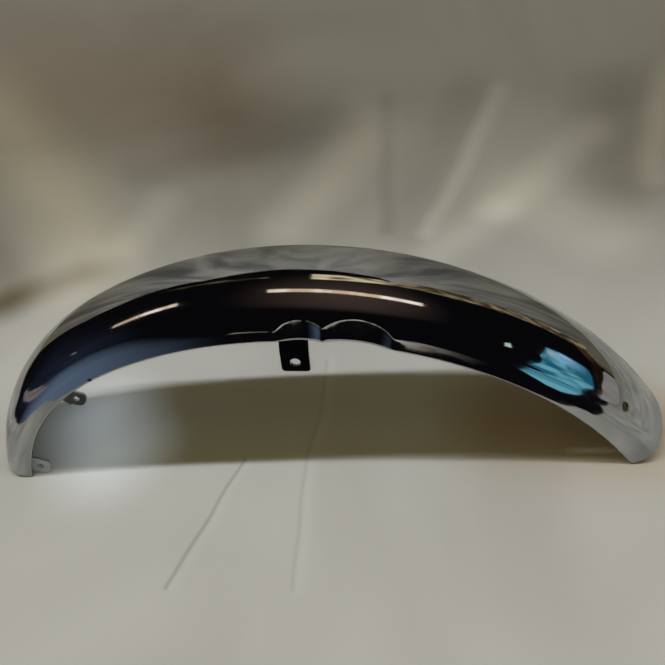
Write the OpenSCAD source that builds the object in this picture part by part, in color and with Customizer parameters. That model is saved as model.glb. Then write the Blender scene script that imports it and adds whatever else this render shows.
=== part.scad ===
// Chromed front mudguard of a motorcycle, standing on its two ends.
// The front end points to +X, the bike's right side to -Y, and Z is up.
// The origin is on the ground, in the middle of the length and the width.

/* [Crown line] */
// Radius of the crown over the wheel, from the front end back to the rear curl
main_r = 396; // [380:1:420]
// Radius of the tighter curl at the rear
rear_r = 279; // [260:1:300]
// Degrees behind the top of the arch where the rear curl starts
curl_start = 23; // [18:1:28]
// Degrees behind the top of the arch where the rear end is cut
rear_end = 69; // [65:1:72]

/* [Section] */
// Width over the side walls
wall_w = 102; // [98:1:110]
// Radius across the crown
crown_r = 80; // [76:1:90]
// Radius of the shoulders between crown and side walls
shoulder_r = 21; // [16:1:23]
// Depth from the crown to the lower edge
side_depth = 40; // [37:1:46]
// Thickness of the sheet
sheet = 1.2; // [0.8:0.1:1.6]
// Diameter of the bead along each lower edge
bead_d = 4.5; // [3.5:0.5:6.5]

/* [Fork pockets] */
// Degrees ahead of the top where the fork leg passes
fork_angle = 12.6; // [11.5:0.1:14]
// Radius pressed into each side wall for the fork leg
fork_pocket_r = 80; // [60:1:90]
// Depth of the fork leg pocket in the side wall
fork_pocket_depth = 5; // [4:0.5:6]
// Degrees ahead of the top of the pocket for the fork leg's fixing lug
lug_pocket_angle = 5.8; // [5.2:0.1:6.2]
// Radius pressed in for the fixing lug
lug_pocket_r = 50; // [40:1:60]
// Depth of the fixing lug pocket
lug_pocket_depth = 3.5; // [2.5:0.5:4.5]

/* [Fork bracket] */
// Degrees ahead of the top of the bracket's middle
bracket_angle = 4.75; // [4.2:0.05:5.2]
// Width of the bracket strap and of its two tabs
bracket_w = 23; // [20:1:25]
// Thickness of the bracket strap
bracket_t = 2.5; // [2:0.5:3.5]
// Radius of the strap where it turns down from the crown
bracket_bend_r = 15; // [12:1:18]
// Reach of the tabs below the mudguard's lower edge
tab_drop = 32.5; // [30:0.5:40]
// Height below the lower edge at which the tab turns upright again
tab_set_drop = 11; // [9:0.5:14]
// How far the tab is set out from the strap's leg
tab_set = 2.5; // [1.5:0.5:3.5]
// Diameter of the fixing hole in each tab
tab_hole_d = 8.5; // [6.5:0.5:10.5]
// Height of the fixing hole above the tab's end
tab_hole_up = 9.7; // [8:0.1:12]
// Radius of the tab's lower corners
tab_corner_r = 3; // [1:0.5:6]

/* [Rear stay lugs] */
// Width of a lug along the mudguard's edge
lug_w = 21; // [18:1:26]
// Distance of a lug from the rear end, along the edge
lug_from_end = 6; // [5:0.5:10]
// Thickness of a lug
lug_t = 2.5; // [2:0.5:3.5]
// Height of the part of a lug that lies on the inside of the bead
lug_seat = 6; // [5:0.5:9]
// Reach of a lug below the lower edge
lug_drop = 17; // [15:1:18]
// Diameter of the stay hole in a lug
lug_hole_d = 7; // [5.5:0.5:8.5]
// Depth of the stay hole below the lower edge
lug_hole_drop = 7; // [6:0.5:8]
// Radius of a lug's lower corner towards the rear end
lug_rear_corner_r = 9; // [8:0.5:10]
// Radius of a lug's lower corner towards the front
lug_front_corner_r = 5; // [2:0.5:8]

/* [Front holes] */
// Diameter of the two holes near the front end
front_hole_d = 8.5; // [5.5:0.5:10.5]
// Distance of the holes from the front end, along the crown
front_hole_back = 61; // [40:1:80]
// Degrees that the holes lie round the shoulder from the crown's side
front_hole_lean = 29; // [20:1:50]

/* [Hidden] */
$fn = 144;
// Clearance between the sheet and a welded-in piece, for the weld
seat_gap = 0.2;
// Extra length of a cutting tool past the surface it cuts
over = 2;
half_w = wall_w / 2;
bead_r = bead_d / 2;
// Distance of a bead's centre from the middle, and its depth below the crown
bead_y = half_w - bead_r;
bead_depth = side_depth - bead_r;
main_edge_r = main_r - side_depth;
rear_edge_r = rear_r - side_depth;
// Centre of the rear curl, seen from the centre of the main radius
rear_cx = -(main_r - rear_r) * sin(curl_start);
rear_cz = (main_r - rear_r) * cos(curl_start);
// Both ends stand on the ground, which sets where the front end is cut
ground_z = rear_cz + rear_edge_r * cos(rear_end);
front_end = acos(ground_z / main_edge_r);
mid_x = (rear_cx - rear_r * sin(rear_end) + main_r * sin(front_end)) / 2;
shoulder_y = half_w - shoulder_r;
shoulder_depth = bend_depth(half_w, crown_r, shoulder_r);
// Legs of the fork bracket clear the beads and the inside of the lug pockets
leg_half = half_w - max(bead_d, lug_pocket_depth + sheet) - seat_gap;
tab_half = leg_half + tab_set;
tab_set_start = seat_gap + over;
lug_angle = rear_end - (lug_from_end + lug_w / 2) / rear_edge_r * 180 / PI;
front_hole_angle = front_end - front_hole_back / main_r * 180 / PI;

// Depth below the crown of the bend that joins a crown arc to an upright wall
function bend_depth(half, crown, bend) =
    crown_r - sqrt(pow(crown - bend, 2) - pow(half - bend, 2));

// Filled outline of a bent sheet: the crown arc, two bends and two upright walls
module bent_fill(half, crown, bend, bottom) {
    bend_y = half - bend;
    depth = bend_depth(half, crown, bend);
    lean = atan2(bend_y, crown_r - depth);
    reach = 2 * crown;
    intersection() {
        union() {
            translate([0, -crown_r])
                intersection() {
                    circle(r = crown);
                    polygon([[0, 0], reach * [-sin(lean), cos(lean)], reach * [sin(lean), cos(lean)]]);
                }
            for (side = [-1, 1])
                translate([side * bend_y, -depth]) circle(r = bend);
            translate([-half, -bottom]) square([2 * half, bottom - depth]);
        }
        translate([-half, -bottom]) square([2 * half, bottom]);
    }
}

// The same bent sheet with a thickness, open downwards
module bent_strip(half, crown, bend, bottom, thick) {
    difference() {
        bent_fill(half, crown, bend, bottom);
        bent_fill(half - thick, crown - thick, bend - thick, bottom + over);
    }
}

// Places a right-hand outline on both sides
module both_sides() {
    children();
    mirror([1, 0]) children();
}

// The sheet itself: crown, shoulders and side walls, with a bead along each lower edge
module blade_section() {
    bent_strip(half_w, crown_r, shoulder_r, bead_depth, sheet);
    both_sides() translate([bead_y, -bead_depth]) circle(r = bead_r, $fn = 48);
}

// All that the middle of the sheet encloses: the floors of the pockets are cut from it
module core_section() {
    core = sheet / 2;
    bent_fill(half_w - core, crown_r - core, shoulder_r - core, bead_depth);
    both_sides() translate([bead_y, -bead_depth]) circle(r = bead_r - core, $fn = 48);
    translate([-bead_y, core - side_depth]) square([2 * bead_y, bead_r]);
}

// Sweeps a section along an arc: its x goes across, its y stands on the crown line
module sweep(r, from, to) {
    rotate([90, 0, 0])
        rotate([0, 0, 90 - to])
            rotate_extrude(angle = to - from)
                translate([r, 0]) rotate(-90) children();
}

// The same, from the plane where the two arcs meet: rearwards for the curl, forwards for the rest
module sweep_back(r, angle) {
    rotate([90, 0, 0])
        rotate([0, 0, 90])
            rotate_extrude(angle = angle)
                translate([r, 0]) rotate(-90) children();
}
module sweep_forward(r, angle) mirror([1, 0, 0]) sweep_back(r, angle) children();

// Frames of the two arcs, with the ground at z = 0
module on_main_arc() translate([-mid_x, 0, -ground_z]) children();
module on_rear_arc() translate([rear_cx - mid_x, 0, rear_cz - ground_z]) children();

// Round posts that the press leaves room for in both side walls; grow adds the sheet
module pocket_posts(grow) {
    post_h = side_depth + 2 * over;
    for (side = [-1, 1], p = [[fork_angle, fork_pocket_r, fork_pocket_depth],
              [lug_pocket_angle, lug_pocket_r, lug_pocket_depth]])
        rotate([0, curl_start + p[0], 0])
            translate([0, side * (half_w - p[2] + p[1]), main_edge_r - over])
                cylinder(r = p[1] + grow, h = post_h);
}

// The pressed blade: one sheet with beaded edges, fork pockets and two front holes
module blade() {
    pocket_start = curl_start + lug_pocket_angle - fork_angle;
    pocket_end = curl_start + 2 * fork_angle;
    color("silver")
        on_main_arc()
            rotate([0, -curl_start, 0]) {
                translate([0, 0, main_r - rear_r])
                    sweep_back(rear_r, rear_end - curl_start) blade_section();
                difference() {
                    union() {
                        sweep_forward(main_r, curl_start + front_end) blade_section();
                        intersection() {
                            sweep(main_r, pocket_start, pocket_end) core_section();
                            pocket_posts(sheet);
                        }
                    }
                    pocket_posts(0);
                    for (side = [-1, 1]) front_hole(side);
                }
            }
}

// One hole square to the shoulder near the front end, in the frame where the arcs meet
module front_hole(side) {
    rotate([0, curl_start + front_hole_angle, 0])
        translate([0, side * shoulder_y, main_r - shoulder_depth])
            rotate([-side * front_hole_lean, 0, 0])
                translate([0, 0, shoulder_r - sheet - over])
                    cylinder(d = front_hole_d, h = sheet + 2 * over);
}

// Flat tongue with a square top and rounded lower corners, seen from the side
module tongue(w, low, high, rear_corner, front_corner) {
    big = max(rear_corner, front_corner);
    translate([-w / 2, low + big]) square([w, high - low - big]);
    translate([-w / 2 + rear_corner, low]) square([w - rear_corner - front_corner, big + over]);
    for (c = [[-1, rear_corner], [1, front_corner]]) {
        translate([c[0] * (w / 2 - c[1]), low + c[1]]) circle(r = c[1]);
        translate([c[0] * (w / 2 - c[1] / 2) - c[1] / 2, low + c[1]])
            square([c[1], big - c[1] + over]);
    }
}

// Cuts a swept strip to a tongue, at an angle round its arc
module cut_to_tongue(angle, w, low, high, rear_corner, front_corner) {
    intersection() {
        children();
        rotate([0, angle, 0])
            rotate([90, 0, 0])
                linear_extrude(height = 2 * wall_w, center = true)
                    tongue(w, low, high, rear_corner, front_corner);
    }
}

// Filled outline of the fork bracket: under the crown, down its legs and out to the tabs
module bracket_fill(inset) {
    leg = leg_half - inset;
    tab = tab_half - inset;
    end = side_depth + tab_drop + over + inset;
    set_top = side_depth + tab_set_start;
    set_end = side_depth + tab_set_drop;
    bent_fill(leg, crown_r - sheet - seat_gap - inset, bracket_bend_r - inset, side_depth);
    polygon([[-leg, over - side_depth], [-leg, -set_top], [-tab, -set_end], [-tab, -end],
             [tab, -end], [tab, -set_end], [leg, -set_top], [leg, over - side_depth]]);
}

// Section of the fork bracket: a bent strap, with its two legs set out to the tabs
module bracket_section() {
    difference() {
        bracket_fill(0);
        bracket_fill(bracket_t);
    }
}

// Inner bracket: spot-welded under the crown, its two tabs bolt to the fork legs
module fork_bracket() {
    end_r = main_edge_r - tab_drop;
    spread = bracket_w / end_r * 180 / PI;
    color("dimgray")
        on_main_arc()
            difference() {
                cut_to_tongue(bracket_angle, bracket_w, end_r, main_r, tab_corner_r, tab_corner_r)
                    sweep(main_r, bracket_angle - spread, bracket_angle + spread) bracket_section();
                rotate([0, bracket_angle, 0])
                    translate([0, 0, end_r + tab_hole_up])
                        rotate([90, 0, 0]) cylinder(d = tab_hole_d, h = 2 * wall_w, center = true);
            }
}

// Section of one rear lug: a flat strip along the inside of the bead, hanging below it
module lug_section(side) {
    lug_y = half_w - bead_d - seat_gap - lug_t / 2;
    translate([side * lug_y - lug_t / 2, -side_depth - lug_drop - over])
        square([lug_t, lug_seat + lug_drop + over]);
}

// Rear lug: welded to the inside of the bead, the stay bolts to it
module stay_lug(side) {
    end_r = rear_edge_r - lug_drop;
    spread = lug_w / end_r * 180 / PI;
    color("gray")
        on_rear_arc()
            difference() {
                cut_to_tongue(-lug_angle, lug_w, end_r, rear_r, lug_rear_corner_r, lug_front_corner_r)
                    sweep(rear_r, -lug_angle - spread, -lug_angle + spread) lug_section(side);
                rotate([0, -lug_angle, 0])
                    translate([0, side * half_w, rear_edge_r - lug_hole_drop])
                        rotate([90, 0, 0]) cylinder(d = lug_hole_d, h = wall_w / 2, center = true);
            }
}

module stay_lug_right() stay_lug(-1);
module stay_lug_left() stay_lug(1);

blade();
fork_bracket();
stay_lug_right();
stay_lug_left();
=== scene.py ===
import math

import bmesh
import bpy
from mathutils import Matrix, Vector


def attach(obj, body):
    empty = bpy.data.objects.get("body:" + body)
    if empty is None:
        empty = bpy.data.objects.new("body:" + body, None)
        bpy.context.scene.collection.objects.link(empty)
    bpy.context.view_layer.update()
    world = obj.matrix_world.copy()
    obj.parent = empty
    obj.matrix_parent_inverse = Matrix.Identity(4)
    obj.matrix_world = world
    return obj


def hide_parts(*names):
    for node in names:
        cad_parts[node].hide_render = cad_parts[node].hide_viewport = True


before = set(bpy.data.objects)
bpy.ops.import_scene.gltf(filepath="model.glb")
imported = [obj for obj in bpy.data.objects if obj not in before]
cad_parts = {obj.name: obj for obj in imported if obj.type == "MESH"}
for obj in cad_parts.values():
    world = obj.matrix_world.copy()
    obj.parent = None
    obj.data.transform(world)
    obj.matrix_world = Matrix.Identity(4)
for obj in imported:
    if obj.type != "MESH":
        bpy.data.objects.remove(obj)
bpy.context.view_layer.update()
scene = bpy.context.scene
scene.view_settings.view_transform = "Standard"


# Camera
# A phone held over the mudguard's right side, looking down at it and turned a little.
def link(name, data):
    obj = bpy.data.objects.new(name, data)
    scene.collection.objects.link(obj)
    return obj


camera_place = (0.1159, -0.3847, 0.4575)
camera_turn = math.radians(11.38)
camera_tilt = math.radians(40.21)
camera_roll = math.radians(-10.66)
camera_data = bpy.data.cameras.new("camera")
camera_data.sensor_width = 36
camera_data.lens = 32.49
camera = link("camera", camera_data)
camera.matrix_world = (
    Matrix.Translation(camera_place)
    @ Matrix.Rotation(camera_turn, 4, "Z")
    @ Matrix.Rotation(math.pi / 2 - camera_tilt, 4, "X")
    @ Matrix.Rotation(camera_roll, 4, "Z")
)
scene.camera = camera


# Cloth
# A pale cloth lies under the mudguard and runs up behind it. The chrome sees only its lit part,
# whose edge is cut out below. The camera sees the wide cloth alone.
def new_material(name):
    material = bpy.data.materials.new(name)
    material.use_nodes = True
    material.node_tree.nodes.clear()
    return material, material.node_tree


def add(tree, kind, **settings):
    node = tree.nodes.new(kind)
    for key, value in settings.items():
        setattr(node, key, value)
    return node


def wire(tree, start, end):
    tree.links.new(start, end)


def fold_group():
    """How near a point is to one fold, 1 on the fold's line and 0 at its reach with soft sides, times
    the fold's painted shade or highlight.
    """
    group = bpy.data.node_groups.new("fold_shading", "ShaderNodeTree")
    for name in ("Point", "Start", "Along"):
        group.interface.new_socket(name, in_out="INPUT", socket_type="NodeSocketVector")
    group.interface.new_socket("Reach", in_out="INPUT", socket_type="NodeSocketFloat")
    group.interface.new_socket("Tone", in_out="INPUT", socket_type="NodeSocketVector")
    group.interface.new_socket("Change", in_out="OUTPUT", socket_type="NodeSocketVector")
    given = group.nodes.new("NodeGroupInput").outputs
    out = group.nodes.new("NodeGroupOutput")
    gap = add(group, "ShaderNodeVectorMath", operation="SUBTRACT")
    reached = add(group, "ShaderNodeVectorMath", operation="DOT_PRODUCT")
    whole = add(group, "ShaderNodeVectorMath", operation="DOT_PRODUCT")
    share = add(group, "ShaderNodeMath", operation="DIVIDE", use_clamp=True)
    foot = add(group, "ShaderNodeVectorMath", operation="SCALE")
    rest = add(group, "ShaderNodeVectorMath", operation="DISTANCE")
    near = add(group, "ShaderNodeMapRange", interpolation_type="SMOOTHSTEP")
    near.inputs["To Min"].default_value = 1.0
    near.inputs["To Max"].default_value = 0.0
    change = add(group, "ShaderNodeVectorMath", operation="SCALE")
    wire(group, given["Point"], gap.inputs[0])
    wire(group, given["Start"], gap.inputs[1])
    wire(group, gap.outputs["Vector"], reached.inputs[0])
    wire(group, given["Along"], reached.inputs[1])
    wire(group, given["Along"], whole.inputs[0])
    wire(group, given["Along"], whole.inputs[1])
    wire(group, reached.outputs["Value"], share.inputs[0])
    wire(group, whole.outputs["Value"], share.inputs[1])
    wire(group, given["Along"], foot.inputs[0])
    wire(group, share.outputs["Value"], foot.inputs["Scale"])
    wire(group, gap.outputs["Vector"], rest.inputs[0])
    wire(group, foot.outputs["Vector"], rest.inputs[1])
    wire(group, rest.outputs["Value"], near.inputs["Value"])
    wire(group, given["Reach"], near.inputs["From Max"])
    wire(group, given["Tone"], change.inputs[0])
    wire(group, near.outputs["Result"], change.inputs["Scale"])
    wire(group, change.outputs["Vector"], out.inputs["Change"])
    return group


fold_shading = fold_group()
# Each fold's two ends on the cloth, as (across, up the cloth), its reach and its change of tone.
# The changes are painted light: darker ones are painted shade in folds and creases, paler ones
# painted highlights on their lit sides, and the last a browner painted shade in the mudguard's shadow.
painted_fold_shades = (
    ((-0.40, 0.68), (-0.16, 0.64), 0.17, (-0.06, -0.17, -0.22)),
    ((-0.15, 0.605), (-0.02, 0.55), 0.13, (-0.20, -0.20, -0.21)),
    ((-0.30, 0.53), (0.02, 0.57), 0.05, (-0.14, -0.14, -0.14)),
    ((0.044, 0.555), (-0.074, 0.384), 0.075, (0.36, 0.35, 0.32)),
    ((0.08, 0.60), (0.07, 0.36), 0.02, (-0.14, -0.14, -0.13)),
    ((-0.50, 0.64), (-0.37, 0.307), 0.13, (0.42, 0.37, 0.28)),
    ((-0.263, 0.462), (-0.339, 0.357), 0.06, (0.22, 0.22, 0.20)),
    ((0.235, 0.60), (0.125, 0.345), 0.024, (0.26, 0.26, 0.25)),
    ((0.19, 0.60), (0.09, 0.36), 0.06, (-0.14, -0.14, -0.14)),
    ((0.354, 0.52), (0.229, 0.387), 0.05, (0.25, 0.25, 0.24)),
    ((0.229, 0.387), (0.136, 0.296), 0.05, (0.24, 0.24, 0.23)),
    ((0.26, 0.42), (0.36, 0.30), 0.09, (0.26, 0.26, 0.24)),
    ((0.38, 0.56), (0.39, 0.42), 0.09, (-0.26, -0.27, -0.29)),
    ((0.44, 0.60), (0.43, 0.42), 0.035, (0.26, 0.24, 0.20)),
    ((-0.58, 0.42), (-0.47, 0.255), 0.07, (-0.22, -0.26, -0.32)),
    ((-0.47, 0.25), (-0.37, 0.315), 0.07, (-0.42, -0.43, -0.46)),
    ((-0.063, -0.034), (-0.104, -0.16), 0.0035, (-0.26, -0.26, -0.26)),
    ((-0.057, -0.034), (-0.098, -0.16), 0.008, (0.05, 0.05, 0.05)),
    ((0.005, 0.10), (0.001, -0.16), 0.004, (-0.12, -0.12, -0.12)),
    ((0.011, 0.10), (0.007, -0.16), 0.010, (0.06, 0.06, 0.06)),
    ((0.19, 0.01), (0.29, -0.01), 0.10, (-0.10, -0.28, -0.46)),
)
# A faint bluish light painted on the cloth under the rear end as a glow, given like a fold
pale_light = ((-0.240, 0.025), (-0.215, -0.02), 0.098, (0.175, 0.205, 0.225))
fold_wobble = 0.03
# Going up the cloth, its shade starts and is full here
shade_from, shade_to = 0.13, 0.46


def paint_fold_shades(tree, across, up, folds):
    """Places the folds' painted shade and highlights on the cloth. Gives their change of its tone, and
    the pale light.
    """
    spot = add(tree, "ShaderNodeCombineXYZ")
    wobble = add(tree, "ShaderNodeTexNoise")
    wobble.inputs["Scale"].default_value = 6
    swing = add(tree, "ShaderNodeVectorMath", operation="MULTIPLY_ADD")
    swing.inputs[1].default_value = (fold_wobble, fold_wobble, 0)
    wire(tree, across, spot.inputs["X"])
    wire(tree, up, spot.inputs["Y"])
    wire(tree, spot.outputs["Vector"], wobble.inputs["Vector"])
    wire(tree, wobble.outputs["Color"], swing.inputs[0])
    wire(tree, spot.outputs["Vector"], swing.inputs[2])
    changes = []
    for start, end, reach, tone in (*folds, pale_light):
        # The wobble pushes every point by half its size on the whole
        begin = [value + fold_wobble / 2 for value in start]
        fold = add(tree, "ShaderNodeGroup", node_tree=fold_shading)
        fold.inputs["Start"].default_value = (*begin, 0)
        fold.inputs["Along"].default_value = (end[0] - start[0], end[1] - start[1], 0)
        fold.inputs["Reach"].default_value = reach
        fold.inputs["Tone"].default_value = tone
        wire(tree, swing.outputs["Vector"], fold.inputs["Point"])
        changes.append(fold.outputs["Change"])
    light = changes.pop()
    total = None
    for change in changes:
        both = add(tree, "ShaderNodeVectorMath", operation="ADD")
        both.inputs[0].default_value = (1, 1, 1)
        if total:
            wire(tree, total, both.inputs[0])
        wire(tree, change, both.inputs[1])
        total = both.outputs["Vector"]
    return total, light


def cloth_material(name, dark, pale, mottle_scale, shade=(1, 1, 1), folds=()):
    """Cloth seen from its front only, mottled in two tones and shaded up its height, with painted fold
    shade and highlights and a painted pale glow where folds are given.
    """
    material, tree = new_material(name)
    out = add(tree, "ShaderNodeOutputMaterial")
    cloth = add(tree, "ShaderNodeBsdfPrincipled")
    cloth.inputs["Roughness"].default_value = 0.9
    cloth.inputs["Specular IOR Level"].default_value = 0.1
    place = add(tree, "ShaderNodeTexCoord")
    stretch = add(tree, "ShaderNodeMapping")
    stretch.inputs["Rotation"].default_value = (0, math.radians(-25), 0)
    stretch.inputs["Scale"].default_value = mottle_scale
    mottle = add(tree, "ShaderNodeTexNoise")
    mottle.inputs["Scale"].default_value = 1.0
    mottle.inputs["Detail"].default_value = 3
    mottle.inputs["Distortion"].default_value = 0.7
    spread = add(tree, "ShaderNodeMapRange")
    spread.inputs["From Min"].default_value = 0.3
    spread.inputs["From Max"].default_value = 0.7
    tone = add(tree, "ShaderNodeMixRGB")
    tone.inputs["Color1"].default_value = (*dark, 1)
    tone.inputs["Color2"].default_value = (*pale, 1)
    axes = add(tree, "ShaderNodeSeparateXYZ")
    up = add(tree, "ShaderNodeMath", operation="ADD")
    rise = add(tree, "ShaderNodeMapRange", interpolation_type="SMOOTHSTEP")
    rise.inputs["From Min"].default_value = shade_from
    rise.inputs["From Max"].default_value = shade_to
    dim = add(tree, "ShaderNodeMixRGB", blend_type="MULTIPLY")
    dim.inputs["Color2"].default_value = (*shade, 1)
    wire(tree, place.outputs["Object"], stretch.inputs["Vector"])
    wire(tree, stretch.outputs["Vector"], mottle.inputs["Vector"])
    wire(tree, mottle.outputs["Fac"], spread.inputs["Value"])
    wire(tree, spread.outputs["Result"], tone.inputs["Fac"])
    wire(tree, place.outputs["Object"], axes.inputs["Vector"])
    wire(tree, axes.outputs["Y"], up.inputs[0])
    wire(tree, axes.outputs["Z"], up.inputs[1])
    wire(tree, up.outputs["Value"], rise.inputs["Value"])
    wire(tree, rise.outputs["Result"], dim.inputs["Fac"])
    wire(tree, tone.outputs["Color"], dim.inputs["Color1"])
    colour = dim.outputs["Color"]
    # The folds add painted shade and highlights, and the pale light is painted on as a glow
    if folds:
        change, light = paint_fold_shades(tree, axes.outputs["X"], up.outputs["Value"], folds)
        folded = add(tree, "ShaderNodeVectorMath", operation="MULTIPLY")
        wire(tree, colour, folded.inputs[0])
        wire(tree, change, folded.inputs[1])
        colour = folded.outputs["Vector"]
        wire(tree, light, cloth.inputs["Emission Color"])
        cloth.inputs["Emission Strength"].default_value = 1.0
    wire(tree, colour, cloth.inputs["Base Color"])
    faces = add(tree, "ShaderNodeNewGeometry")
    clear = add(tree, "ShaderNodeBsdfTransparent")
    sides = add(tree, "ShaderNodeMixShader")
    wire(tree, faces.outputs["Backfacing"], sides.inputs["Fac"])
    wire(tree, cloth.outputs["BSDF"], sides.inputs[1])
    wire(tree, clear.outputs["BSDF"], sides.inputs[2])
    wire(tree, sides.outputs["Shader"], out.inputs["Surface"])
    return material


def stage_sheet(name, verts, faces, material, in_camera):
    """A sheet of the stage. It shows either in the camera or in the chrome, never in both."""
    mesh = bpy.data.meshes.new(name)
    mesh.from_pydata(verts, [], faces)
    mesh.materials.append(material)
    for polygon in mesh.polygons:
        polygon.use_smooth = True
    obj = link(name, mesh)
    obj.visible_camera = in_camera
    obj.visible_glossy = not in_camera
    if not in_camera:
        obj.visible_diffuse = False
        obj.visible_shadow = False
    return obj


def card(name, corners, material):
    """A flat sheet that shows in the chrome alone."""
    return stage_sheet(name, corners, [tuple(range(len(corners)))], material, False)


def level(outline, z):
    return [(x, y, z) for x, y in outline]


def on_back(outline, y):
    return [(x, y, z) for x, z in outline]


def on_side(outline, x):
    return [(x, y, z) for y, z in outline]


# The wide cloth lies a hair below the mudguard's ends, and a round cove joins its two parts
wall_y, wall_top = 0.45, 3.0
cove_r, cove_step = 0.15, 10
cloth_reach = 4
cloth_gap = 0.0003
cove = [(-cloth_reach, 0), (wall_y - cove_r, 0)]
cove += [
    (wall_y - cove_r + cove_r * math.sin(a), cove_r - cove_r * math.cos(a))
    for a in [math.radians(degrees) for degrees in range(cove_step, 90, cove_step)]
]
cove += [(wall_y, cove_r), (wall_y, wall_top)]
wide_dark, wide_pale, wide_shade = (0.365, 0.357, 0.322), (0.46, 0.455, 0.42), (0.60, 0.585, 0.55)
stage_sheet(
    "wide_cloth",
    [(x, y, z - cloth_gap) for y, z in cove for x in (-cloth_reach, cloth_reach)],
    [(2 * i, 2 * i + 1, 2 * i + 3, 2 * i + 2) for i in range(len(cove) - 1)],
    cloth_material("wide_cloth", wide_dark, wide_pale, (3.2, 2.2, 3.6), wide_shade, painted_fold_shades),
    True,
)
lit_floor = [
    (-1.05, 0.45), (-0.80, 0.25), (-0.64, 0.05), (-0.52, -0.09), (-0.42, -0.125), (-0.33, -0.155),
    (-0.20, -0.165), (0.00, -0.17), (0.10, -0.165), (0.17, -0.14), (0.24, -0.122), (0.275, -0.115),
    (0.31, -0.14), (0.36, -0.17), (0.48, -0.245), (0.80, -0.33), (1.50, -0.50), (1.50, 0.45),
]  # fmt: skip
floor_dark, floor_pale = (0.21, 0.215, 0.20), (0.45, 0.44, 0.41)
floor_cloth = cloth_material("lit_floor", floor_dark, floor_pale, (18, 11, 2))
card("lit_floor", level(lit_floor, 0), floor_cloth)
lit_wall = [
    (-1.05, 0.0), (1.40, 0.0), (1.35, 0.13), (1.10, 0.16), (1.00, 0.45), (0.90, 0.74), (0.75, 0.92),
    (0.60, 0.98), (0.47, 1.06), (0.38, 0.86), (0.28, 0.80), (0.10, 0.76), (-0.08, 0.74),
    (-0.25, 0.78), (-0.45, 0.82), (-0.55, 0.74), (-0.70, 0.66), (-0.88, 0.62), (-1.05, 0.48),
]  # fmt: skip
wall_dark, wall_pale = (0.13, 0.13, 0.14), (0.40, 0.395, 0.37)
wall_cloth = cloth_material("lit_wall", wall_dark, wall_pale, (9, 3, 2.2))
card("lit_wall", on_back(lit_wall, wall_y), wall_cloth)


# Room
# Behind the camera the room is dark. Tube lights, small lamps, a window, hazy light and the strips along
# the cloth's edges are flat cards that show in the chrome alone. The ceiling, strips, patches and haze
# are
# no lamps but glow: they paint the chrome's reflections of the dim ceiling, lit cloth and floor, and
# glare.
# A long soft lamp overhead lights the cloth.
def glow(name, low, high, scale=(3, 3, 3), middle=None, reach=None):
    """A light with two tones in soft streaks. With a middle it fades out towards its reach."""
    material, tree = new_material(name)
    out = add(tree, "ShaderNodeOutputMaterial")
    light = add(tree, "ShaderNodeEmission")
    place = add(tree, "ShaderNodeTexCoord")
    stretch = add(tree, "ShaderNodeMapping")
    stretch.inputs["Scale"].default_value = scale
    streaks = add(tree, "ShaderNodeTexNoise")
    streaks.inputs["Scale"].default_value = 1.0
    streaks.inputs["Detail"].default_value = 2
    spread = add(tree, "ShaderNodeMapRange")
    spread.inputs["From Min"].default_value = 0.4
    spread.inputs["From Max"].default_value = 0.6
    tone = add(tree, "ShaderNodeMixRGB")
    tone.inputs["Color1"].default_value = (*low, 1)
    tone.inputs["Color2"].default_value = (*high, 1)
    wire(tree, place.outputs["Object"], stretch.inputs["Vector"])
    wire(tree, stretch.outputs["Vector"], streaks.inputs["Vector"])
    wire(tree, streaks.outputs["Fac"], spread.inputs["Value"])
    wire(tree, spread.outputs["Result"], tone.inputs["Fac"])
    wire(tree, tone.outputs["Color"], light.inputs["Color"])
    if middle is None:
        wire(tree, light.outputs["Emission"], out.inputs["Surface"])
        return material
    centre = add(tree, "ShaderNodeMapping", vector_type="TEXTURE")
    centre.inputs["Location"].default_value = middle
    centre.inputs["Scale"].default_value = reach
    ball = add(tree, "ShaderNodeTexGradient", gradient_type="SPHERICAL")
    soft = add(tree, "ShaderNodeMapRange", interpolation_type="SMOOTHSTEP")
    clear = add(tree, "ShaderNodeBsdfTransparent")
    both = add(tree, "ShaderNodeMixShader")
    wire(tree, place.outputs["Object"], centre.inputs["Vector"])
    wire(tree, centre.outputs["Vector"], ball.inputs["Vector"])
    wire(tree, ball.outputs["Fac"], soft.inputs["Value"])
    wire(tree, soft.outputs["Result"], both.inputs["Fac"])
    wire(tree, clear.outputs["BSDF"], both.inputs[1])
    wire(tree, light.outputs["Emission"], both.inputs[2])
    wire(tree, both.outputs["Shader"], out.inputs["Surface"])
    return material


def rectangle(x_low, x_high, y_low, y_high):
    return [(x_low, y_low), (x_high, y_low), (x_high, y_high), (x_low, y_high)]


# Cards on the floor lie this much above it. The first ones hang overhead.
card_z = 0.001
lamp_z = 1.4
ceiling_z = lamp_z + 0.02
tube_glow = glow("tube_glow", (0.95, 0.68, 0.45), (1.5, 1.3, 1.12), (6, 1, 1))
for name, x_low, x_high in (("tube_left", -1.95, -0.97), ("tube_right", -0.24, 0.87)):
    card(name, level(rectangle(x_low, x_high, 0.11, 0.20), lamp_z), tube_glow)
plaster = (0.066, 0.044, 0.038)
ceiling_middle, ceiling_reach = (0.31, 0.0, ceiling_z), (0.95, 0.9, 1)
ceiling_glow = glow("ceiling_glow", plaster, plaster, (1, 1, 1), ceiling_middle, ceiling_reach)
card("ceiling", level(rectangle(-0.7, 1.3, -0.95, 0.95), ceiling_z), ceiling_glow)

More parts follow.
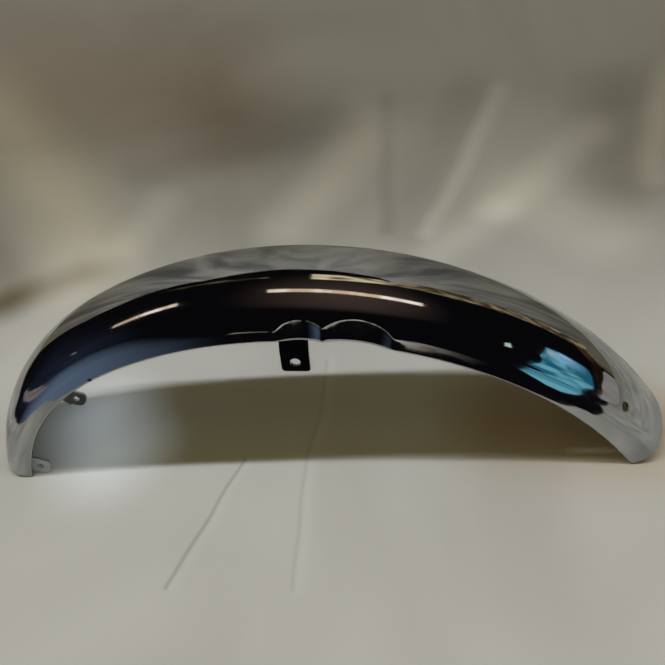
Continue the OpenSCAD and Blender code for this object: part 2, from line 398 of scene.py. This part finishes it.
# The window in front, its light on the floor, and what stands just before and behind it
window_x = 1.5
window_glow = glow("window_glow", (0.02, 0.155, 0.24), (0.19, 0.55, 0.69), (1, 2.2, 5))
window = [
    (0.17, 0.66), (0.21, 0.54), (0.22, 0.39), (0.20, 0.29), (0.11, 0.26), (-0.66, 0.15), (-1.0, 0.0),
    (-1.5, 0.0), (-1.5, 0.3), (-1.1, 0.47), (-0.5, 0.62), (-0.13, 0.70),
]  # fmt: skip
card("window", on_side(window, window_x), window_glow)
window_on_floor = [
    (1.5, -1.0), (0.36, -0.24), (0.28, -0.185), (0.262, -0.195), (0.285, -0.27), (0.335, -0.38),
    (1.2, -1.5), (1.5, -1.5),
]  # fmt: skip
card("window_on_floor", level(window_on_floor, card_z), window_glow)
pane = [(0.17, 0.64), (0.21, 0.3), (0.0, 0.3), (-0.05, 0.66)]
pane_x = window_x - 0.01
pane_middle, pane_reach = (pane_x, 0.13, 0.5), (1, 0.22, 0.26)
pane_glow = glow("pane_glow", (0.25, 0.50, 0.85), (0.9, 1.0, 1.0), (1, 4, 4), pane_middle, pane_reach)
card("pane", on_side(pane, pane_x), pane_glow)
brown_edge = [
    (0.80, 0.12), (0.45, 0.1), (0.39, 0.13), (0.08, 0.17), (-0.26, 0.13), (-0.47, 0.09), (-0.8, 0.0),
    (-0.8, 0.03), (-0.45, 0.13), (-0.24, 0.17), (0.08, 0.22), (0.3, 0.24), (0.45, 0.24), (0.80, 0.36),
]  # fmt: skip
brown_glow = glow("brown_glow", (0.012, 0.006, 0.004), (0.07, 0.028, 0.012), (1, 5, 8))
card("brown_edge", on_side(brown_edge, window_x + 0.02), brown_glow)
lit_side = [
    (0.45, 0.0), (0.45, 0.1), (0.39, 0.13), (0.08, 0.17), (-0.26, 0.13), (-0.47, 0.09), (-0.7, 0.0),
]  # fmt: skip
side_glow = glow("side_glow", (0.27, 0.26, 0.24), (0.36, 0.35, 0.32))
card("lit_side", on_side(lit_side, window_x + 0.01), side_glow)

# Glowing strips along the upper edge of the cloth, painted reflections of its lit edge
gold_edge = [
    (0.47, 1.06), (0.60, 0.98), (0.75, 0.92), (0.90, 0.74), (1.00, 0.45), (1.10, 0.16), (0.93, 0.12),
    (0.82, 0.36), (0.74, 0.52), (0.64, 0.64), (0.53, 0.72), (0.43, 0.82),
]  # fmt: skip
gold_glow = glow("gold_glow", (0.05, 0.035, 0.02), (0.34, 0.26, 0.15), (11, 3, 16))
card("gold_edge", on_back(gold_edge, wall_y - 0.001), gold_glow)
cream_line = [
    (0.03, 0.94), (0.2, 0.92), (0.44, 0.88), (0.47, 1.05), (0.3, 1.16), (0.1, 1.22), (0.03, 1.2),
]  # fmt: skip
cream_glow = glow("cream_glow", (0.20, 0.14, 0.06), (1.0, 0.85, 0.55), (7, 3, 12))
card("cream_line", on_back(cream_line, wall_y), cream_glow)
dim_line = [
    (-0.75, 0.80), (-0.55, 0.92), (-0.35, 1.03), (-0.2, 1.05), (-0.2, 1.11), (-0.4, 1.1), (-0.65, 0.95),
]  # fmt: skip
dim_glow = glow("dim_glow", (0.04, 0.03, 0.012), (0.20, 0.17, 0.10), (6, 3, 9))
card("dim_line", on_back(dim_line, wall_y), dim_glow)

# Glowing strips on the floor before the fork pockets, painted reflections of pale lit cloth
pale_strip = [
    (-0.045, -0.287), (0.045, -0.288), (0.09, -0.31), (0.13, -0.35), (0.16, -0.30), (0.185, -0.215),
    (0.215, -0.19), (0.205, -0.178), (0.165, -0.182), (0.14, -0.200), (0.115, -0.206), (0.095, -0.214),
    (0.085, -0.24), (0.045, -0.262), (0.0, -0.262), (-0.045, -0.268),
]  # fmt: skip
strip_middle, strip_reach = (0.03, -0.27, card_z), (0.20, 0.14, 1)
strip_tones = (0.26, 0.235, 0.20), (0.66, 0.61, 0.52)
strip_glow = glow("strip_glow", *strip_tones, (25, 10, 1), strip_middle, strip_reach)
card("pale_strip", level(pale_strip, card_z), strip_glow)
pale_tail = [(-0.14, -0.345), (-0.08, -0.31), (-0.075, -0.285), (-0.13, -0.285)]
tail_glow = glow("tail_glow", (0.08, 0.075, 0.06), (0.20, 0.19, 0.15), (20, 10, 1))
card("pale_tail", level(pale_tail, card_z), tail_glow)

# Hazy light towards the rear, and two small lamps
navy_tones = (0.11, 0.16, 0.24), (0.13, 0.185, 0.275)
navy_glow = glow("navy_glow", *navy_tones, (2, 2, 2), (0, 0, 0), (0.62, 1.3, 1))
navy_haze = card("navy_haze", level(rectangle(-1, 1, -1.5, 1.5), 0), navy_glow)
navy_haze.location = (-1.065, -0.892, -0.468)
navy_haze.rotation_euler = Vector((0.668, 0.601, 0.438)).to_track_quat("Z", "Y").to_euler()
faint_tones = (0.012, 0.016, 0.029), (0.018, 0.023, 0.040)
faint_glow = glow("faint_glow", *faint_tones, (2, 2, 2), (0, 0, 0), (1.1, 1.3, 1))
faint_haze = card("faint_haze", level(rectangle(-1.1, 1.1, -1.3, 1.3), 0), faint_glow)
faint_haze.location = (-1.49, -0.50, 0.45)
faint_haze.rotation_euler = (0, math.radians(90), 0)
mauve_patch = [
    (-1.5, 0.10), (-1.1, 0.02), (-0.75, -0.20), (-0.5, -0.24), (-0.62, -0.34), (-1.2, -0.52),
    (-1.5, -0.4),
]  # fmt: skip
mauve_glow = glow("mauve_glow", (0.14, 0.115, 0.125), (0.26, 0.22, 0.23))
card("mauve_patch", level(mauve_patch, card_z), mauve_glow)
spot_left = [(-0.355, 0.565), (-0.215, 0.605), (-0.255, 0.66), (-0.415, 0.62)]
spot_right = [(-0.68, 0.965), (-0.34, 1.03), (-0.20, 0.985), (-0.62, 0.905)]
for name, outline, x, colour in (
    ("spot_left", spot_left, -1.5, (1.2, 1.2, 1.05)),
    ("spot_right", spot_right, 1.49, (0.6, 0.85, 0.72)),
):
    card(name, on_side(outline, x), glow(name, colour, colour))

# The long soft lamp, and the room's own light, which is near black to the chrome
lamp_data = bpy.data.lights.new("soft_lamp", "AREA")
lamp_data.shape = "RECTANGLE"
lamp_data.size = 2.2
lamp_data.size_y = 0.04
lamp_data.energy = 20.2
lamp_data.color = (0.955, 0.985, 1.085)
lamp = link("soft_lamp", lamp_data)
lamp.location = (0.0, -0.145, lamp_z)
lamp.visible_glossy = False

world = bpy.data.worlds.new("room")
scene.world = world
world.use_nodes = True
room = world.node_tree
room.nodes.clear()
room_out = add(room, "ShaderNodeOutputWorld")
room_rays = add(room, "ShaderNodeLightPath")
room_dark = add(room, "ShaderNodeBackground")
room_dark.inputs["Color"].default_value = (0.0035, 0.003, 0.004, 1)
room_pale = add(room, "ShaderNodeBackground")
room_pale.inputs["Color"].default_value = (0.17, 0.16, 0.135, 1)
room_soft = add(room, "ShaderNodeBackground")
room_soft.inputs["Color"].default_value = (0.33, 0.28, 0.12, 1)
not_glossy = add(room, "ShaderNodeMixShader")
by_camera = add(room, "ShaderNodeMixShader")
wire(room, room_rays.outputs["Is Glossy Ray"], not_glossy.inputs["Fac"])
wire(room, room_soft.outputs["Background"], not_glossy.inputs[1])
wire(room, room_dark.outputs["Background"], not_glossy.inputs[2])
wire(room, room_rays.outputs["Is Camera Ray"], by_camera.inputs["Fac"])
wire(room, not_glossy.outputs["Shader"], by_camera.inputs[1])
wire(room, room_pale.outputs["Background"], by_camera.inputs[2])
wire(room, by_camera.outputs["Shader"], room_out.inputs["Surface"])


# Blade
# One steel sheet, pressed and beaded: a domed crown, soft shoulders, upright walls and a round
# bead along each lower edge. The walls are pressed in for the fork legs. Bright chrome plating.
sheet_mm = 1.2
wall_half_mm = 51
crown_r_mm = 80
shoulder_r_mm = 21
depth_mm = 40
bead_r_mm = 2.25
bend_y_mm = wall_half_mm - shoulder_r_mm
bend_z_mm = math.sqrt((crown_r_mm - shoulder_r_mm) ** 2 - bend_y_mm**2) - crown_r_mm
outer_steps, wall_steps, bead_steps, inner_steps, inner_wall_steps = 14, 4, 20, 10, 3


def arc(centre, radius, start, end, count):
    """Points on an arc, from start to end in degrees, anticlockwise from the +Y side."""
    steps = [math.radians(start + (end - start) * i / count) for i in range(count + 1)]
    return [(centre[0] + radius * math.cos(a), centre[1] + radius * math.sin(a)) for a in steps]


def half_section():
    """Left half of the sheet's section, from the crown out and round the bead, and back inside.

    Each point is (y, z, press): press is how far inside the sheet's outer face it lies
    where the fork pockets press the wall and the bead flat.
    """
    top = (0, -crown_r_mm)
    bend = (bend_y_mm, bend_z_mm)
    bead = (wall_half_mm - bead_r_mm, bead_r_mm - depth_mm)
    lean = 90 - math.degrees(math.atan2(bend_y_mm, bend_z_mm + crown_r_mm))
    inner_y = wall_half_mm - sheet_mm
    meet = math.degrees(math.acos((inner_y - bead[0]) / bead_r_mm))
    meet_z = bead[1] + bead_r_mm * math.sin(math.radians(meet))

    outer = arc(top, crown_r_mm, 90, lean, outer_steps)
    outer += arc(bend, shoulder_r_mm, lean, 0, outer_steps)[1:]
    drop = bead[1] - bend_z_mm
    outer += [(wall_half_mm, bend_z_mm + drop * t / wall_steps) for t in range(1, wall_steps + 1)]
    under = arc(bead, bead_r_mm, 0, -180, bead_steps)[1:]
    under = [(y, z, sheet_mm * (i + 1) / bead_steps) for i, (y, z) in enumerate(under)]
    inner = arc(bead, bead_r_mm, 180, meet, inner_steps)[1:]
    rise = bend_z_mm - meet_z
    inner += [(inner_y, meet_z + rise * t / inner_wall_steps) for t in range(1, inner_wall_steps)]
    inner += arc(bend, shoulder_r_mm - sheet_mm, 0, lean, inner_steps)
    inner += arc(top, crown_r_mm - sheet_mm, lean, 90, inner_steps)[1:]
    return [(y, z, 0.0) for y, z in outer] + under + [(y, z, sheet_mm) for y, z in inner]


def section_mesh():
    """The whole section as a ring of points in metres, its press in x."""
    half = half_section()
    far = [(-y, z, press) for y, z, press in reversed(half[1:-1])]
    ring = half + far
    verts = [(press / 1000, y / 1000, z / 1000) for y, z, press in ring]
    mesh = bpy.data.meshes.new("blade_section")
    mesh.from_pydata(verts, [(i, (i + 1) % len(verts)) for i in range(len(verts))], [])
    return mesh


class Fields:
    """Makes and wires the nodes of one geometry tree."""

    def __init__(self, tree):
        self.tree = tree

    def put(self, socket, value):
        if isinstance(value, bpy.types.NodeSocket):
            self.tree.links.new(value, socket)
        else:
            socket.default_value = value

    def math(self, operation, *values):
        node = self.tree.nodes.new("ShaderNodeMath")
        node.operation = operation
        for socket, value in zip(node.inputs, values):
            self.put(socket, value)
        return node.outputs[0]

    def switch(self, condition, off, on):
        node = self.tree.nodes.new("GeometryNodeSwitch")
        node.input_type = "FLOAT"
        self.put(node.inputs["Switch"], condition)
        self.put(node.inputs["False"], off)
        self.put(node.inputs["True"], on)
        return node.outputs[0]

    def node(self, kind, settings=None, **inputs):
        node = self.tree.nodes.new(kind)
        for key, value in (settings or {}).items():
            setattr(node, key, value)
        for key, value in inputs.items():
            self.put(node.inputs[key.replace("_", " ")], value)
        return node


def blade_tree(sizes, material):
    """Sweeps the section along the rear curl and the main arc, and presses the fork pockets."""
    tree = bpy.data.node_groups.new("pressed_blade", "GeometryNodeTree")
    face = tree.interface
    face.new_socket("Section", in_out="INPUT", socket_type="NodeSocketGeometry")
    for name in sizes:
        face.new_socket(name, in_out="INPUT", socket_type="NodeSocketFloat")
    face.new_socket("Rows", in_out="INPUT", socket_type="NodeSocketInt")
    face.new_socket("Blade", in_out="OUTPUT", socket_type="NodeSocketGeometry")
    f = Fields(tree)
    given = tree.nodes.new("NodeGroupInput").outputs
    out = tree.nodes.new("NodeGroupOutput")

    # A grid of rows along the arc and columns round the section
    points = f.node("GeometryNodeAttributeDomainSize", Geometry=given["Section"]).outputs["Point Count"]
    columns = f.math("ADD", points, 1)
    grid = f.node("GeometryNodeMeshGrid", Vertices_X=given["Rows"], Vertices_Y=columns)
    index = f.node("GeometryNodeInputIndex").outputs[0]
    row = f.math("FLOOR", f.math("DIVIDE", f.math("ADD", index, 0.5), columns))
    column = f.math("SUBTRACT", index, f.math("MULTIPLY", row, columns))
    source = f.math("MODULO", column, points)
    position = f.node("GeometryNodeInputPosition").outputs[0]
    sample = f.node("GeometryNodeSampleIndex", {"data_type": "FLOAT_VECTOR"}, Geometry=given["Section"])
    f.put(sample.inputs["Value"], position)
    f.put(sample.inputs["Index"], source)
    press, across, depth = f.node("ShaderNodeSeparateXYZ", Vector=sample.outputs[0]).outputs

    # Angle and arc of each row
    share = f.math("DIVIDE", row, f.math("SUBTRACT", given["Rows"], 1))
    sweep = f.math("ADD", given["Rear End"], given["Front End"])
    angle = f.math("SUBTRACT", f.math("MULTIPLY", share, sweep), given["Rear End"])
    behind = f.math("LESS_THAN", angle, f.math("MULTIPLY", given["Curl Start"], -1))
    offset = f.math("SUBTRACT", given["Main Radius"], given["Rear Radius"])
    radius = f.switch(behind, given["Main Radius"], given["Rear Radius"])
    shift_x = f.math("MULTIPLY", offset, f.math("MULTIPLY", f.math("SINE", given["Curl Start"]), -1))
    shift_z = f.math("MULTIPLY", offset, f.math("COSINE", given["Curl Start"]))
    centre_x = f.switch(behind, 0.0, shift_x)
    centre_z = f.switch(behind, 0.0, shift_z)
    reach = f.math("ADD", radius, depth)
    x = f.math("ADD", centre_x, f.math("MULTIPLY", reach, f.math("SINE", angle)))
    z = f.math("ADD", centre_z, f.math("MULTIPLY", reach, f.math("COSINE", angle)))

    # Press the walls in round two posts on each side. A post reaches along the wall for a share
    # of its radius, and past that nothing limits the width.
    post_share, no_limit = 0.7, 1.0
    side = f.math("SIGN", across)
    width = f.math("ABSOLUTE", across)
    for post in ("Fork", "Lug"):
        at, post_r, deep = (given[f"{post} {word}"] for word in ("Angle", "Radius", "Depth"))
        along = f.math(
            "SUBTRACT",
            f.math("MULTIPLY", x, f.math("COSINE", at)),
            f.math("MULTIPLY", z, f.math("SINE", at)),
        )
        inside = f.math("SUBTRACT", f.math("MULTIPLY", post_r, post_r), f.math("MULTIPLY", along, along))
        bow = f.math("SQRT", f.math("MAXIMUM", inside, 0))
        limit = f.math("SUBTRACT", given["Wall Half Width"], deep)
        limit = f.math("SUBTRACT", f.math("ADD", limit, post_r), bow)
        limit = f.math("SUBTRACT", limit, press)
        near = f.math("LESS_THAN", f.math("ABSOLUTE", along), f.math("MULTIPLY", post_r, post_share))
        limit = f.switch(near, no_limit, limit)
        width = f.math("SMOOTH_MIN", width, limit, given["Crease"])

    # Place the grid's points, close its seam and give it its plating
    place = f.node(
        "ShaderNodeCombineXYZ",
        X=f.math("SUBTRACT", x, given["Middle X"]),
        Y=f.math("MULTIPLY", width, side),
        Z=f.math("SUBTRACT", z, given["Ground Z"]),
    ).outputs[0]
    placed = f.node("GeometryNodeSetPosition", Geometry=grid.outputs["Mesh"], Position=place)
    closed = f.node("GeometryNodeMergeByDistance", Geometry=placed.outputs[0], Distance=1e-6)
    real = f.node("GeometryNodeRealizeInstances", Geometry=closed.outputs[0])
    dressed = f.node("GeometryNodeSetMaterial", Geometry=real.outputs[0], Material=material)
    f.put(out.inputs["Blade"], dressed.outputs[0])
    return tree


def set_inputs(modifier, values):
    for item in modifier.node_group.interface.items_tree:
        if item.name in values:
            modifier[item.identifier] = values[item.name]


def plain_mesh(obj, name):
    """Turns an object's live modifiers into a plain mesh of its own."""
    graph = bpy.context.evaluated_depsgraph_get()
    mesh = bpy.data.meshes.new_from_object(obj.evaluated_get(graph))
    mesh.name = name
    obj.modifiers.clear()
    obj.data = mesh


def chrome_group():
    """Haze, wipe marks and small pits that all the plated steel shares."""
    group = bpy.data.node_groups.new("worn_plating", "ShaderNodeTree")
    face = group.interface
    for name, value in (("Haze", 0.05), ("Pits", 0.5), ("Ripple", 0.1)):
        socket = face.new_socket(name, in_out="INPUT", socket_type="NodeSocketFloat")
        socket.default_value = value
    face.new_socket("Tint", in_out="INPUT", socket_type="NodeSocketColor")
    face.new_socket("Color", in_out="OUTPUT", socket_type="NodeSocketColor")
    face.new_socket("Roughness", in_out="OUTPUT", socket_type="NodeSocketFloat")
    face.new_socket("Normal", in_out="OUTPUT", socket_type="NodeSocketVector")
    given = group.nodes.new("NodeGroupInput").outputs
    out = group.nodes.new("NodeGroupOutput")
    place = add(group, "ShaderNodeTexCoord").outputs["Object"]

    def noise(scale, detail, distortion=0.0):
        node = add(group, "ShaderNodeTexNoise")
        node.inputs["Scale"].default_value = scale
        node.inputs["Detail"].default_value = detail
        node.inputs["Distortion"].default_value = distortion
        wire(group, place, node.inputs["Vector"])
        return node.outputs["Fac"]

    def ramp(source, low, high, start, end):
        node = add(group, "ShaderNodeMapRange")
        for key, value in zip(("From Min", "From Max", "To Min", "To Max"), (low, high, start, end)):
            node.inputs[key].default_value = value
        wire(group, source, node.inputs["Value"])
        return node.outputs["Result"]

    def maths(operation, first, second):
        node = add(group, "ShaderNodeMath", operation=operation)
        for socket, value in zip(node.inputs, (first, second)):
            if isinstance(value, bpy.types.NodeSocket):
                wire(group, value, socket)
            else:
                socket.default_value = value
        return node.outputs[0]

    cloudy = ramp(noise(9, 4, 0.6), 0.42, 0.72, 0.0, 1.0)
    fine = ramp(noise(160, 3), 0.45, 0.75, 0.0, 1.0)
    haze = maths("MULTIPLY", given["Haze"], maths("ADD", cloudy, maths("MULTIPLY", fine, 0.5)))
    spots = add(group, "ShaderNodeTexVoronoi")
    spots.inputs["Scale"].default_value = 110
    wire(group, place, spots.inputs["Vector"])
    pit = ramp(spots.outputs["Distance"], 0.05, 0.11, 1.0, 0.0)
    some = ramp(noise(14, 2), 0.6, 0.66, 0.0, 1.0)
    pit = maths("MULTIPLY", maths("MULTIPLY", pit, some), given["Pits"])
    colour = add(group, "ShaderNodeMixRGB")
    wire(group, pit, colour.inputs["Fac"])
    wire(group, given["Tint"], colour.inputs["Color1"])
    colour.inputs["Color2"].default_value = (0.16, 0.10, 0.06, 1)
    wire(group, colour.outputs["Color"], out.inputs["Color"])
    rough = maths("ADD", maths("ADD", haze, 0.035), maths("MULTIPLY", pit, 0.4))
    wire(group, rough, out.inputs["Roughness"])
    bump = add(group, "ShaderNodeBump")
    bump.inputs["Distance"].default_value = 0.001
    wire(group, given["Ripple"], bump.inputs["Strength"])
    wire(group, noise(24, 1), bump.inputs["Height"])
    wire(group, bump.outputs["Normal"], out.inputs["Normal"])
    return group


worn_plating = chrome_group()
pit_core, pit_edge = 0.0015, 0.0032


def plated(name, tint, haze, pits, ripple, rust_at=None):
    """Chrome plating. Where a place is given for it, one small dark pit of rust goes through."""
    material, tree = new_material(name)
    out = add(tree, "ShaderNodeOutputMaterial")
    metal = add(tree, "ShaderNodeBsdfPrincipled")
    metal.inputs["Metallic"].default_value = 1.0
    wear = add(tree, "ShaderNodeGroup", node_tree=worn_plating)
    wear.inputs["Tint"].default_value = (*tint, 1)
    wear.inputs["Haze"].default_value = haze
    wear.inputs["Pits"].default_value = pits
    wear.inputs["Ripple"].default_value = ripple
    if rust_at:
        place = add(tree, "ShaderNodeTexCoord")
        gap = add(tree, "ShaderNodeVectorMath", operation="DISTANCE")
        gap.inputs[1].default_value = rust_at
        spot = add(tree, "ShaderNodeMapRange")
        spot.inputs["From Min"].default_value = pit_core
        spot.inputs["From Max"].default_value = pit_edge
        spot.inputs["To Min"].default_value = 1.0
        spot.inputs["To Max"].default_value = 0.0
        rust = add(tree, "ShaderNodeMixRGB")
        rust.inputs["Color2"].default_value = (0.03, 0.02, 0.02, 1)
        wire(tree, place.outputs["Object"], gap.inputs[0])
        wire(tree, gap.outputs["Value"], spot.inputs["Value"])
        wire(tree, spot.outputs["Result"], rust.inputs["Fac"])
        wire(tree, wear.outputs["Color"], rust.inputs["Color1"])
        wire(tree, rust.outputs["Color"], metal.inputs["Base Color"])
    else:
        wire(tree, wear.outputs["Color"], metal.inputs["Base Color"])
    wire(tree, wear.outputs["Roughness"], metal.inputs["Roughness"])
    wire(tree, wear.outputs["Normal"], metal.inputs["Normal"])
    wire(tree, metal.outputs["BSDF"], out.inputs["Surface"])
    return material


dark_pit = (-0.162, -0.052, 0.132)
bright_chrome = plated("bright_chrome", (0.56, 0.57, 0.57), 0.05, 0.6, 0.08, dark_pit)
# Dull plating for the inside and the hole walls; its dark tint is painted shade
shaded_inner_chrome = plated("shaded_inner_chrome", (0.17, 0.16, 0.15), 0.45, 0.9, 0.1)

# The crown follows a main arc and a tighter rear curl, and both of its ends stand on the ground
main_r, rear_r = 0.396, 0.279
curl_start, rear_end = math.radians(23), math.radians(69)
depth = depth_mm / 1000
ground_z = (main_r - rear_r) * math.cos(curl_start) + (rear_r - depth) * math.cos(rear_end)
front_end = math.acos(ground_z / (main_r - depth))
rear_x = -(main_r - rear_r) * math.sin(curl_start)
middle_x = (rear_x - rear_r * math.sin(rear_end) + main_r * math.sin(front_end)) / 2
blade_sizes = {
    "Main Radius": main_r,
    "Rear Radius": rear_r,
    "Curl Start": curl_start,
    "Rear End": rear_end,
    "Front End": front_end,
    "Middle X": middle_x,
    "Ground Z": ground_z,
    "Wall Half Width": wall_half_mm / 1000,
    "Crease": 0.0015,
    "Fork Angle": math.radians(12.6),
    "Fork Radius": 0.080,
    "Fork Depth": 0.005,
    "Lug Angle": math.radians(5.8),
    "Lug Radius": 0.050,
    "Lug Depth": 0.0035,
}
blade = link("mudguard_blade", section_mesh())
sweep = blade.modifiers.new("sweep", "NODES")
sweep.node_group = blade_tree(blade_sizes, bright_chrome)
set_inputs(sweep, blade_sizes | {"Rows": 380})
plain_mesh(blade, "mudguard_blade")

# The two ends are closed, and a hole is punched through each shoulder near the front end
hole_d, hole_back, hole_lean = 0.0085, 0.061, math.radians(29)
hole_angle = front_end - hole_back / main_r
punch_length = 0.012
solid = bmesh.new()
solid.from_mesh(blade.data)
bmesh.ops.holes_fill(solid, edges=[e for e in solid.edges if e.is_boundary], sides=0)
bmesh.ops.recalc_face_normals(solid, faces=solid.faces)
solid.to_mesh(blade.data)
solid.free()
hole_spots = []
for side in (-1, 1):
    punch_mesh = bpy.data.meshes.new("punch")
    punch_shape = bmesh.new()
    bmesh.ops.create_cone(
        punch_shape,
        segments=40,
        radius1=hole_d / 2,
        radius2=hole_d / 2,
        depth=punch_length,
        cap_ends=True,
    )
    punch_shape.transform(
        Matrix.Translation((-middle_x, 0, -ground_z))
        @ Matrix.Rotation(hole_angle, 4, "Y")
        @ Matrix.Translation((0, side * bend_y_mm / 1000, main_r + bend_z_mm / 1000))
        @ Matrix.Rotation(-side * hole_lean, 4, "X")
        @ Matrix.Translation((0, 0, shoulder_r_mm / 1000))
    )
    hole_spots.append(sum((v.co for v in punch_shape.verts), Vector()) / len(punch_shape.verts))
    punch_shape.to_mesh(punch_mesh)
    punch_shape.free()
    punch = link("punch", punch_mesh)
    cut = blade.modifiers.new("punch", "BOOLEAN")
    cut.operation = "DIFFERENCE"
    cut.solver = "EXACT"
    cut.object = punch
    plain_mesh(blade, "mudguard_blade")
    bpy.data.objects.remove(punch)

# The inside and the walls of the holes were plated thinly and are dull, and their plating is tinted
# dark: painted shade in the hollow and in the holes. The inside lies within this half width, and a
# hole's wall within this reach of the middle of its punch.
hollow_depth = 0.022
inside_half = 0.0499
hole_reach = hole_d * 0.53


def from_hollow(point):
    """The way to a point of the blade from the middle of the hollow under its crown."""
    x, z, radius = point.x + middle_x, point.z + ground_z, main_r
    if math.atan2(x, z) < -curl_start:
        x += (main_r - rear_r) * math.sin(curl_start)
        z -= (main_r - rear_r) * math.cos(curl_start)
        radius = rear_r
    angle = math.atan2(x, z)
    hollow_r = radius - hollow_depth
    return Vector((x - hollow_r * math.sin(angle), point.y, z - hollow_r * math.cos(angle)))


blade.data.materials.append(shaded_inner_chrome)
for polygon in blade.data.polygons:
    polygon.use_smooth = True
    spot = polygon.center
    inside = abs(spot.y) < inside_half and polygon.normal.dot(from_hollow(spot)) < 0
    punched = min((spot - hole_spot).length for hole_spot in hole_spots) < hole_reach
    if inside or punched:
        polygon.material_index = 1
blade.data.set_sharp_from_angle(angle=math.radians(40))
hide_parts("blade")
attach(blade, "root")


# Fork bracket
# A bent steel strap, spot-welded under the crown before plating. Its two drilled tabs hang
# below the walls and bolt to the fork legs. Chrome plated with the blade, a little duller.
dull_chrome = plated("dull_chrome", (0.42, 0.42, 0.43), 0.12, 0.4, 0.05)


def dress(node_name, material):
    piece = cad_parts[node_name]
    for slot in piece.material_slots:
        slot.material = material


dress("fork_bracket", dull_chrome)


# Stay lugs
# Two drilled steel lugs, spot-welded inside the walls at the rear end for the stays. Their
# plating is dull and pale.
lug_chrome = plated("lug_chrome", (0.84, 0.86, 0.88), 0.7, 0.3, 0.05)
for lug in ("stay_lug_right", "stay_lug_left"):
    dress(lug, lug_chrome)
